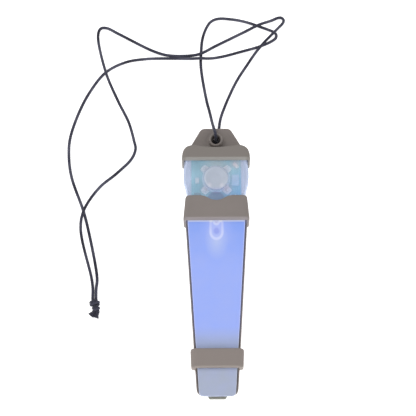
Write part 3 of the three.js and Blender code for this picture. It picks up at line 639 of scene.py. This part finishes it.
def braid_rings(route, radius, frayed):
    """The tube's rings of points, and how many yarn lengths along the cord each ring is."""
    rings = []
    places = []
    side = None
    run = 0.0
    for i, centre in enumerate(route):
        before, after = route[max(i - 1, 0)], route[min(i + 1, len(route) - 1)]
        along = (after - before).normalized()
        if side is None:
            side = along.orthogonal().normalized()
        side = (side - along * side.dot(along)).normalized()
        over = along.cross(side)
        if i:
            run += (centre - route[i - 1]).length
        flare = 1.0
        if frayed:
            flare += (FLARE - 1) * max(0, i - len(route) + 1 + FLARE_RINGS) / FLARE_RINGS
        row = []
        for k in range(BRAID_SIDES):
            angle = TAU * k / BRAID_SIDES
            phase = TAU * run / BRAID_PITCH
            yarn = math.cos(BRAID_LOBES * angle + phase) * math.cos(BRAID_LOBES * angle - phase)
            out = radius * (1 - BRAID_SWELL + BRAID_SWELL * yarn) * flare
            point = centre + out * (math.cos(angle) * side + math.sin(angle) * over)
            if frayed:
                point.z = max(point.z, FLOOR_GAP)
            row.append(point)
        rings.append(row)
        places.append(run / BRAID_PITCH * 2)
    return rings, places


def tube_faces(count, start_cap, end_cap):
    """Quads between count rings, and a fan of triangles to a middle point at each end."""
    faces = []
    last = (count - 1) * BRAID_SIDES
    for i in range(count - 1):
        a, b = i * BRAID_SIDES, (i + 1) * BRAID_SIDES
        for k in range(BRAID_SIDES):
            after = (k + 1) % BRAID_SIDES
            faces.append((a + k, a + after, b + after, b + k))
    for k in range(BRAID_SIDES):
        after = (k + 1) % BRAID_SIDES
        faces.append((start_cap, after, k))
        faces.append((end_cap, last + k, last + after))
    return faces


def braided_tube(name, route, radius=CORD / 2, frayed=False):
    """A closed tube along the route (millimetres) whose skin has the crossing yarns of a braid."""
    rings, places = braid_rings(route, radius, frayed)
    points = [p * MM for row in rings for p in row]
    start_cap = len(points)
    points += [route[0] * MM, route[-1] * MM]
    piece = mesh_from(name, points, tube_faces(len(rings), start_cap, start_cap + 1))
    layer = piece.data.uv_layers.new(name="braid")
    for polygon in piece.data.polygons:
        spokes = [v % BRAID_SIDES for v in polygon.vertices if v < start_cap]
        wraps = 0 in spokes and BRAID_SIDES - 1 in spokes
        for loop, vertex in zip(polygon.loop_indices, polygon.vertices):
            ring, k = divmod(min(vertex, start_cap - 1), BRAID_SIDES)
            around = k + (BRAID_SIDES if k == 0 and wraps else 0)
            layer.data[loop].uv = (around / BRAID_SIDES * BRAID_LOBES, places[ring])
    return piece


KNOT_LOBES = (
    # where the winding starts and ends, turns, half width, lean across the pair
    {"start": (-61.7, -20.6, 1.65), "end": (-61.3, -22.9, 1.65), "turns": 2.0, "half": 2.0, "lean": 0.4},
    {"start": (-60.9, -23.6, 1.65), "end": (-60.7, -25.1, 1.65), "turns": 1.3, "half": 1.35, "lean": 0.3},
)
KNOT_DEPTH = 0.8  # half of the winding's height through the knot
KNOT_CORE = 0.75  # half the distance between the two strands inside it
KNOT_STEPS = 160
KNOT_START = 0.6  # angle at which a winding starts
KNOT_BULGE = 0.14  # how much wider a winding is in its middle, as a share


def winding(lobe):
    """The line of one lobe: a flattened helix that is widest in its middle."""
    start, end = Vector(lobe["start"]), Vector(lobe["end"])
    dense = []
    for i in range(KNOT_STEPS + 1):
        t = i / KNOT_STEPS
        angle = TAU * lobe["turns"] * t + KNOT_START
        wide = lobe["half"] * (1 - KNOT_BULGE + KNOT_BULGE * math.sin(math.pi * t))
        lean = lobe["lean"] * math.cos(angle)
        offset = Vector((wide * math.cos(angle), lean, KNOT_DEPTH * math.sin(angle)))
        dense.append(start.lerp(end, t) + offset)
    return resampled(dense, BRAID_STEP)


def make_knot():
    """The pair of strands, wound round by a wide and then by a narrower lobe of cord."""
    parts = [braided_tube("knot_winding", winding(lobe)) for lobe in KNOT_LOBES]
    for shift in (-KNOT_CORE, KNOT_CORE):
        line = [
            (-61.78 + 1.1 * shift, -19.3, 0.85), (-61.5 + shift, -20.6, 1.4),
            (-61.2 + shift, -23.0, 1.6), (-60.9 + shift, -25.0, 1.6),
        ]
        parts.append(braided_tube("knot_core", laid_curve(line, BRAID_STEP)))
    return joined("lanyard_knot_tied", parts)


STRANDS = {
    "lanyard_front_strand": FRONT_STRAND,
    "lanyard_back_strand": BACK_STRAND,
    "lanyard_tail_left": TAIL_LEFT,
    "lanyard_tail_right": TAIL_RIGHT,
}


def make_lanyard():
    material = braid_material()
    pieces = {}
    routes = {}
    for node, points in STRANDS.items():
        tail = node in TAIL_ROOTS
        if tail:
            points = [TAIL_ROOTS[node], *points]
        routes[node] = laid_curve(points, BRAID_STEP)
        radius = TAIL_RADIUS if tail else CORD / 2
        pieces[node] = braided_tube(node + "_braid", routes[node], radius, frayed=tail)
    pieces["lanyard_knot"] = make_knot()
    for node, piece in pieces.items():
        put(piece, node, material)


make_lanyard()

# ---------- holster, shells, blade and button ----------
CAP_SPREAD = 1.03  # lets the button all but fill its hole


def make_button():
    button = moulded("button_cap", 0.14, 3)
    about = Matrix.Translation((0, BUTTON_Y, 0))
    wider = Matrix.Diagonal((CAP_SPREAD, CAP_SPREAD, 1, 1))
    button.data.transform(about @ wider @ about.inverted())
    put(button, "button_cap", cap_material())


put(moulded("holster", 0.28, 4), "holster", rubber_material())
put(moulded("head_front_shell", 0.2, 3), "head_front_shell", shell_material())
put(moulded("light_blade", 0.24, 5), "light_blade", blade_material())
make_button()

# ---------- small moulded and turned pieces ----------
WHITE = plain("white_plastic_look", (0.8, 0.82, 0.84), 0.5)
BLACK = plain("black_plastic_look", (0.02, 0.02, 0.022), 0.45, spread=0.2)
TUB = tub_material()
SEAL = plain("seal_rubber_look", (0.03, 0.03, 0.03), 0.8, spread=0.15)
BRASS = brushed("contact_brass_look", (0.62, 0.45, 0.16), 0.32)
STEEL = brushed("bright_metal_look", (0.6, 0.61, 0.62), 0.28)
CELL_STEEL = brushed("cell_can_look", (0.6, 0.61, 0.62), 0.3, turns_about=(0, BUTTON_Y))
SCREW_STEEL = brushed("screw_look", (0.8, 0.82, 0.85), 0.55)
SOLDER = plain("solder_look", (0.62, 0.63, 0.64), 0.3, metallic=1.0)
CERAMIC = plain("ceramic_look", (0.74, 0.66, 0.64), 0.4)
PALE = plain("chip_package_look", (0.46, 0.52, 0.6), 0.5)
FERRITE = plain("ferrite_look", (0.06, 0.06, 0.065), 0.7, spread=0.2)
RESISTOR = plain("resistor_look", (0.16, 0.22, 0.23), 0.35)

MOULDED_LOOKS = {
    # node: voxel in millimetres, smoothing passes, material
    "head_rear_shell": (0.2, 3, TUB),
    "shell_gasket": (0.14, 2, WHITE),
    "battery_door": (0.16, 3, TUB),
    "door_seal": (0.12, 3, SEAL),
    "coin_cell_lower": (0.14, 3, CELL_STEEL),
    "coin_cell_upper": (0.14, 3, CELL_STEEL),
    "switch_body": (0.1, 2, BLACK),
    "switch_plunger": (0.08, 2, BLACK),
    "switch_retainer": (0.12, 3, WHITE),
    "blade_reflector": (0.12, 1, WHITE),
}
for index in range(1, 5):
    MOULDED_LOOKS[f"retainer_screw_{index}"] = (0.06, 2, SCREW_STEEL)

for name, (voxel, passes, look) in MOULDED_LOOKS.items():
    put(moulded(name, voxel, passes), name, look)


SAME_POINT = 0.001 * MM
SAME_PLANE = math.radians(2)
SHARP = math.radians(35)  # an edge that turns more than this is bevelled
SHADED_SHARP = math.radians(40)  # and one that turns more than this is shaded as an edge


def edged(node, width):
    """A copy of a CAD node with its sharp edges rounded by width (millimetres), for thin pieces."""
    piece = new_object(node + "_look", NODES[node].data.copy())
    piece.data.materials.clear()
    shape = bmesh.new()
    shape.from_mesh(piece.data)
    bmesh.ops.remove_doubles(shape, verts=shape.verts, dist=SAME_POINT)
    bmesh.ops.dissolve_limit(
        shape, angle_limit=SAME_PLANE, verts=shape.verts, edges=shape.edges)
    shape.to_mesh(piece.data)
    shape.free()
    bevel = piece.modifiers.new("bevel", "BEVEL")
    bevel.width = width * MM
    bevel.segments = 2
    bevel.limit_method = "ANGLE"
    bevel.angle_limit = SHARP
    bevel.use_clamp_overlap = True
    bake_modifiers(piece)
    for polygon in piece.data.polygons:
        polygon.use_smooth = True
    piece.data.set_sharp_from_angle(angle=SHADED_SHARP)
    return piece


EPOXY = (0.72, 0.8, 0.95)


def diode_material():
    """Clear epoxy with the blue of the chip in it."""
    made = Material("diode_look", EPOXY, 0.12, alpha=0.55)
    made.drive("Base Color", made.uneven(EPOXY, 0.03, 900))
    made.drive("Roughness", made.grain(1500, 0.08, 0.2, detail=2))
    made.set("Emission Color", (0.35, 0.46, 0.95, 1))
    made.set("Emission Strength", 0.5)
    made.bump(made.noise(900, 1), 0.05, 0.00002)
    return made.data


EDGED_LOOKS = {
    # node: bevel in millimetres, material
    "circuit_board": (0.08, board_material()),
    "negative_contact": (0.05, BRASS),
    "positive_contact": (0.05, BRASS),
    "led_lead_anode": (0.06, STEEL),
    "led_lead_cathode": (0.06, STEEL),
}
for name, (width, look) in EDGED_LOOKS.items():
    put(edged(name, width), name, look)
put(moulded("blade_led", 0.1, 3), "blade_led", diode_material())
NODES["switch_dome"].data.materials.clear()
NODES["switch_dome"].data.materials.append(STEEL)


# ---------- parts on the board ----------
CLOSE = 0.01 * MM


def footprint(node):
    """Middle of the underside, long and short directions, and sizes of a plain CAD block."""
    points = [v.co.copy() for v in NODES[node].data.vertices]
    low = min(p.z for p in points)
    high = max(p.z for p in points)
    corners = []
    for point in points:
        apart = all((point - c).length > CLOSE for c in corners)
        if point.z < low + CLOSE and apart:
            corners.append(point)
    first = corners[0]
    others = sorted(corners[1:], key=lambda p: (p - first).length)
    short, long = others[0] - first, others[1] - first
    middle = sum(corners, Vector()) / len(corners)
    return middle, long.normalized(), short.normalized(), long.length, short.length, high - low


def block(place, long, short, centre, size, bevel):
    """A rounded block: centre and size are along, across and up from place, in metres."""
    shape = bmesh.new()
    bmesh.ops.create_cube(shape, size=1)
    bmesh.ops.scale(shape, vec=size, verts=shape.verts)
    bmesh.ops.bevel(
        shape, geom=shape.edges[:], offset=bevel, segments=2, affect="EDGES", profile=0.7)
    up = Vector((0, 0, 1))
    turn = Matrix((long, short, up)).transposed().to_4x4()
    middle = place + long * centre[0] + short * centre[1] + up * centre[2]
    bmesh.ops.transform(shape, matrix=Matrix.Translation(middle) @ turn, verts=shape.verts)
    mesh = bpy.data.meshes.new("block")
    shape.to_mesh(mesh)
    shape.free()
    for polygon in mesh.polygons:
        polygon.use_smooth = True
    mesh.set_sharp_from_angle(angle=SHADED_SHARP)
    return new_object("block", mesh)


def with_look(piece, material):
    piece.data.materials.append(material)
    return piece


END_CAP = 0.22  # share of a chip part's length that each plated end takes
BODY_SHARE = (0.94, 0.92)  # its body's width and height, as shares of the plated ends'


def two_ended(node, body):
    """A surface-mount capacitor or resistor: a body between two plated ends."""
    place, long, short, length, width, height = footprint(node)
    cap = length * END_CAP
    size = (length - cap, width * BODY_SHARE[0], height * BODY_SHARE[1])
    parts = [with_look(block(place, long, short, (0, 0, height / 2), size, height * 0.08), body)]
    for side in (-1, 1):
        centre = (side * (length - cap) / 2, 0, height / 2)
        end = block(place, long, short, centre, (cap, width, height), height * 0.16)
        parts.append(with_look(end, SOLDER))
    put(joined(node + "_look", parts), node)


# shares of the package's length, width and height
PACKAGE = {"width": 0.78, "height": 0.88, "middle": 0.55, "round": 0.1}
LEG_FOOT = {"out": 0.45, "up": 0.07, "width": 0.1, "height": 0.14}
LEG_KNEE = {"out": 0.38, "up": 0.3, "width": 0.08, "height": 0.5}
LEGS = 4  # along each long side
LEG_SPREAD = 0.95
LEG_WIDTH = 0.0003
LEG_ROUND = 0.00003
DOT = {"along": -0.36, "across": -0.2, "up": 0.985, "height": 0.03, "size": 0.0004, "round": 0.00001}


def chip(node):
    """A small package with bent legs along both long sides and a dot by the first leg."""
    place, long, short, length, width, height = footprint(node)
    body = block(
        place, long, short, (0, 0, height * PACKAGE["middle"]),
        (length, width * PACKAGE["width"], height * PACKAGE["height"]), height * PACKAGE["round"])
    parts = [with_look(body, PALE)]
    for side in (-1, 1):
        for i in range(LEGS):
            along = (i - (LEGS - 1) / 2) * length / LEGS * LEG_SPREAD
            for bend in (LEG_FOOT, LEG_KNEE):
                centre = (along, side * width * bend["out"], height * bend["up"])
                size = (LEG_WIDTH, width * bend["width"], height * bend["height"])
                parts.append(with_look(block(place, long, short, centre, size, LEG_ROUND), SOLDER))
    centre = (length * DOT["along"], width * DOT["across"], height * DOT["up"])
    size = (DOT["size"], DOT["size"], height * DOT["height"])
    parts.append(with_look(block(place, long, short, centre, size, DOT["round"]), WHITE))
    put(joined(node + "_look", parts), node)


# shares of the inductor's length, width and height
FERRITE_BLOCK = {"middle": 0.52, "height": 0.84, "round": 0.18}
FERRITE_FOOT = {"out": 0.3, "up": 0.06, "length": 0.25, "width": 0.8, "height": 0.12, "round": 0.03}
FERRITE_CORE = {"low": 0.36, "high": 0.33, "height": 0.12, "middle": 0.94}


def inductor(node):
    """A square ferrite block on two plated feet, with its round core proud of the top."""
    place, long, short, length, width, height = footprint(node)
    body = block(
        place, long, short, (0, 0, height * FERRITE_BLOCK["middle"]),
        (length, width, height * FERRITE_BLOCK["height"]), height * FERRITE_BLOCK["round"])
    parts = [with_look(body, FERRITE)]
    foot = FERRITE_FOOT
    for side in (-1, 1):
        centre = (side * length * foot["out"], 0, height * foot["up"])
        size = (length * foot["length"], width * foot["width"], height * foot["height"])
        pad = block(place, long, short, centre, size, height * foot["round"])
        parts.append(with_look(pad, SOLDER))
    shape = bmesh.new()
    bmesh.ops.create_cone(
        shape, cap_ends=True, segments=32, radius1=length * FERRITE_CORE["low"],
        radius2=length * FERRITE_CORE["high"], depth=height * FERRITE_CORE["height"])
    top = place + Vector((0, 0, height * FERRITE_CORE["middle"]))
    bmesh.ops.translate(shape, vec=top, verts=shape.verts)
    mesh = bpy.data.meshes.new("core")
    shape.to_mesh(mesh)
    shape.free()
    parts.append(with_look(new_object("core", mesh), FERRITE))
    put(joined(node + "_look", parts), node)


chip("controller_chip")
inductor("boost_inductor")
for name in ("supply_capacitor", "output_capacitor"):
    two_ended(name, CERAMIC)
for name in ("current_resistor", "timing_resistor", "gate_resistor"):
    two_ended(name, RESISTOR)


# ---------- stage ----------
FLOOR_HALF = 3
FLOOR_Z = -0.00005  # just below the flat back, so that the two don't share a plane
EYELET_Y = 0.0627  # the floor has a painted shadow and doesn't glow where it is seen through the eyelet
EYELET_PAINTED_SHADOW = (0.0026, 0.0034)
EYELET_GLOWLESS = (0.0035, 0.0045)
PAPER = (0.93, 0.93, 0.93)
PAPER_GLOW = 0.75
WORLD_STRENGTH = 0.5

LIGHTS = {
    # name: place, diameter, watts
    "key": ((-0.5, 0.5, 0.9), 0.8, 4),
    "fill": ((0.7, -0.2, 0.8), 0.8, 2),
    "front": ((-0.1, -0.9, 0.35), 0.6, 3),
}


def paper_material():
    paper = Material("paper_floor", PAPER, roughness=0.9)
    sheet = paper.uneven(PAPER, 0.01, 40)
    # painted shadow on the floor under the eyelet
    paper.drive("Base Color", paper.patch(sheet, 0, EYELET_Y, *EYELET_PAINTED_SHADOW, 1, (0.03, 0.03, 0.035)))
    paper.set("Emission Color", (1, 1, 1, 1))
    from_eyelet = paper.far_from(0, EYELET_Y)
    paper.drive("Emission Strength", paper.range(from_eyelet, *EYELET_GLOWLESS, 0, PAPER_GLOW))
    return paper.data


def make_stage():
    signs = ((-1, -1), (1, -1), (1, 1), (-1, 1))
    corners = [(x * FLOOR_HALF, y * FLOOR_HALF, FLOOR_Z) for x, y in signs]
    floor = mesh_from("floor", corners, [(0, 1, 2, 3)])
    floor.data.materials.append(paper_material())
    world = bpy.data.worlds.new("studio")
    bpy.context.scene.world = world
    world.use_nodes = True
    background = world.node_tree.nodes["Background"]
    background.inputs["Color"].default_value = (1, 1, 1, 1)
    background.inputs["Strength"].default_value = WORLD_STRENGTH
    bpy.context.scene.view_settings.view_transform = "Standard"


def area_light(name, place, size, watts):
    """A round soft light that looks at the middle of the floor."""
    data = bpy.data.lights.new(name, "AREA")
    data.shape = "DISK"
    data.size = size
    data.energy = watts
    lamp = bpy.data.objects.new(name, data)
    bpy.context.scene.collection.objects.link(lamp)
    lamp.location = place
    lamp.rotation_euler = (-Vector(place)).to_track_quat("-Z", "Y").to_euler()


make_stage()
for name, (place, size, watts) in LIGHTS.items():
    area_light(name, place, size, watts)
